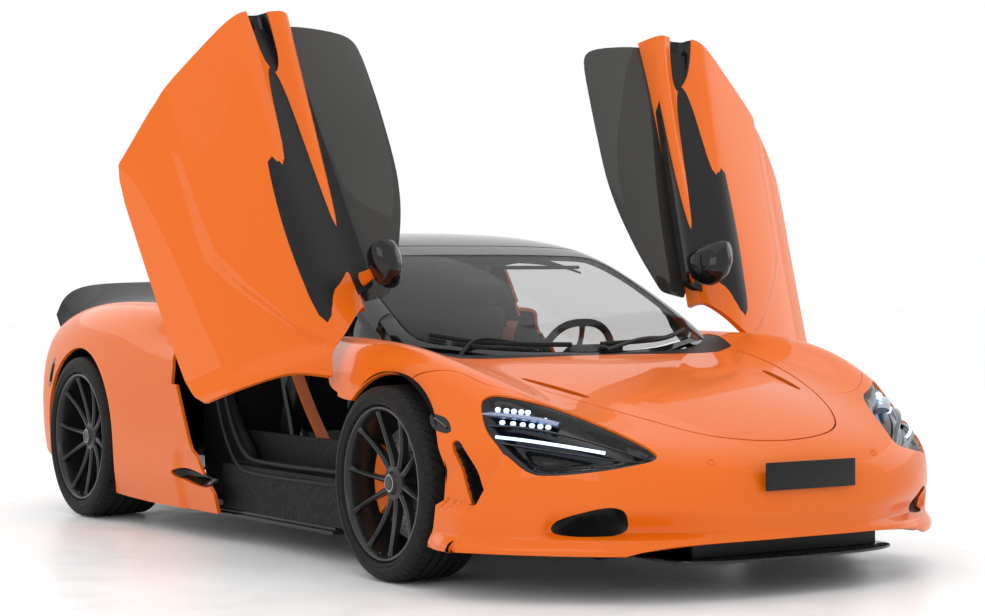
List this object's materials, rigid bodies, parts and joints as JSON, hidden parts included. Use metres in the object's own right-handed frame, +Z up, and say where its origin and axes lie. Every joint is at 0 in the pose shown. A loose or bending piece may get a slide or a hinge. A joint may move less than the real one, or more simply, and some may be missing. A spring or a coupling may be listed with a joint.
{
  "type": "supercar",
  "caption": "Low mid-engined two-seat supercar with a removable hard roof, upward-swinging doors, lifting bonnet, steered front wheels and a tilting tail wing.",
  "frame": {"origin": "centre of the overall footprint on the floor, wheels standing on it", "axes": "+Z up, the front faces -Y, the driver's left is +X"},
  "size_m": [3.0072, 4.569, 1.9979],
  "materials": {
    "tub": "satin",
    "undertray": "satin",
    "bumper_paint": "gloss",
    "splitter": "gloss",
    "fender_paint": "gloss",
    "cowl": "satin",
    "windscreen": "gloss",
    "screen_frame": "gloss",
    "roof": "gloss",
    "quarter_paint": "gloss",
    "deck_paint": "gloss",
    "rear_glass": "gloss",
    "tail_paint": "gloss",
    "diffuser": "gloss",
    "exhaust": "satin",
    "headlight": "gloss",
    "tail_light": "gloss",
    "skirt": "gloss",
    "seat": "satin",
    "dash": "satin",
    "engine": "satin",
    "front_arms": "satin",
    "rear_arms": "satin",
    "luggage": "satin",
    "plate": "gloss",
    "bonnet_paint": "gloss",
    "door_paint": "gloss",
    "door_glass": "gloss",
    "mirror_shell": "gloss",
    "caliper": "gloss",
    "wing": "gloss",
    "steering": "satin",
    "rim": "gloss",
    "tyre": "satin"
  },
  "bodies": {
    "body": {"chassis_tub": "tub", "undertray": "undertray", "front_bumper": "bumper_paint", "front_splitter": "splitter", "left_front_fender": "fender_paint", "right_front_fender": "fender_paint", "cowl": "cowl", "windscreen": "windscreen", "windscreen_frame": "screen_frame", "roof_panel": "roof", "left_rear_fender": "quarter_paint", "right_rear_fender": "quarter_paint", "rear_deck": "deck_paint", "rear_window": "rear_glass", "rear_bumper": "tail_paint", "rear_diffuser": "diffuser", "exhaust_pipes": "exhaust", "headlights": "headlight", "tail_lights": "tail_light", "side_skirts": "skirt", "seats": "seat", "dashboard": "dash", "engine": "engine", "front_suspension": "front_arms", "rear_suspension": "rear_arms", "luggage_tub": "luggage", "number_plate": "plate"},
    "bonnet": {"bonnet": "bonnet_paint"},
    "left_door": {"left_door": "door_paint", "left_door_glass": "door_glass", "left_door_mirror": "mirror_shell"},
    "right_door": {"right_door": "door_paint", "right_door_glass": "door_glass", "right_door_mirror": "mirror_shell"},
    "left_knuckle": {"left_knuckle": "caliper"},
    "right_knuckle": {"right_knuckle": "caliper"},
    "rear_wing": {"rear_wing": "wing"},
    "steering_wheel": {"steering_wheel": "steering"},
    "front_left_wheel": {"front_left_rim": "rim", "front_left_tyre": "tyre"},
    "front_right_wheel": {"front_right_rim": "rim", "front_right_tyre": "tyre"},
    "rear_left_wheel": {"rear_left_rim": "rim", "rear_left_tyre": "tyre"},
    "rear_right_wheel": {"rear_right_rim": "rim", "rear_right_tyre": "tyre"}
  },
  "joints": [
    {"name": "left_door_hinge", "type": "hinge", "parent": "body", "child": "left_door", "pos_m": [0.96, -0.9375, 0.6], "axis": [-0.6425, 0.5936, 0.4846], "range_deg": [0, 86]},
    {"name": "right_door_hinge", "type": "hinge", "parent": "body", "child": "right_door", "pos_m": [-0.96, -0.9375, 0.6], "axis": [-0.6425, -0.5936, -0.4846], "range_deg": [0, 86]},
    {"name": "bonnet_hinge", "type": "hinge", "parent": "body", "child": "bonnet", "pos_m": [0, -1.1095, 0.735], "axis": [-1, 0, 0], "range_deg": [0, 50]},
    {"name": "left_steer", "type": "hinge", "parent": "body", "child": "left_knuckle", "pos_m": [0.735, -1.2095, 0.327], "axis": [0, 0, 1], "range_deg": [-30, 30]},
    {"name": "right_steer", "type": "hinge", "parent": "body", "child": "right_knuckle", "pos_m": [-0.735, -1.2095, 0.327], "axis": [0, 0, 1], "range_deg": [-30, 30]},
    {"name": "steering_wheel_turn", "type": "hinge", "parent": "body", "child": "steering_wheel", "pos_m": [0.37, -0.4095, 0.69], "axis": [0, 0.9397, 0.342], "range_deg": [-420, 420]},
    {"name": "rear_wing_tilt", "type": "hinge", "parent": "body", "child": "rear_wing", "pos_m": [0, 2.0505, 0.9], "axis": [1, 0, 0], "range_deg": [0, 35]},
    {"name": "front_left_spin", "type": "hinge", "parent": "left_knuckle", "child": "front_left_wheel", "pos_m": [0.84, -1.2095, 0.327], "axis": [1, 0, 0], "continuous": true},
    {"name": "front_right_spin", "type": "hinge", "parent": "right_knuckle", "child": "front_right_wheel", "pos_m": [-0.84, -1.2095, 0.327], "axis": [1, 0, 0], "continuous": true},
    {"name": "rear_left_spin", "type": "hinge", "parent": "body", "child": "rear_left_wheel", "pos_m": [0.8145, 1.4605, 0.3455], "axis": [1, 0, 0], "continuous": true},
    {"name": "rear_right_spin", "type": "hinge", "parent": "body", "child": "rear_right_wheel", "pos_m": [-0.8145, 1.4605, 0.3455], "axis": [1, 0, 0], "continuous": true}
  ],
  "couplings": [
    {"joint": "right_steer", "follows": "left_steer", "ratio": 1},
    {"joint": "steering_wheel_turn", "follows": "left_steer", "ratio": 14}
  ]
}
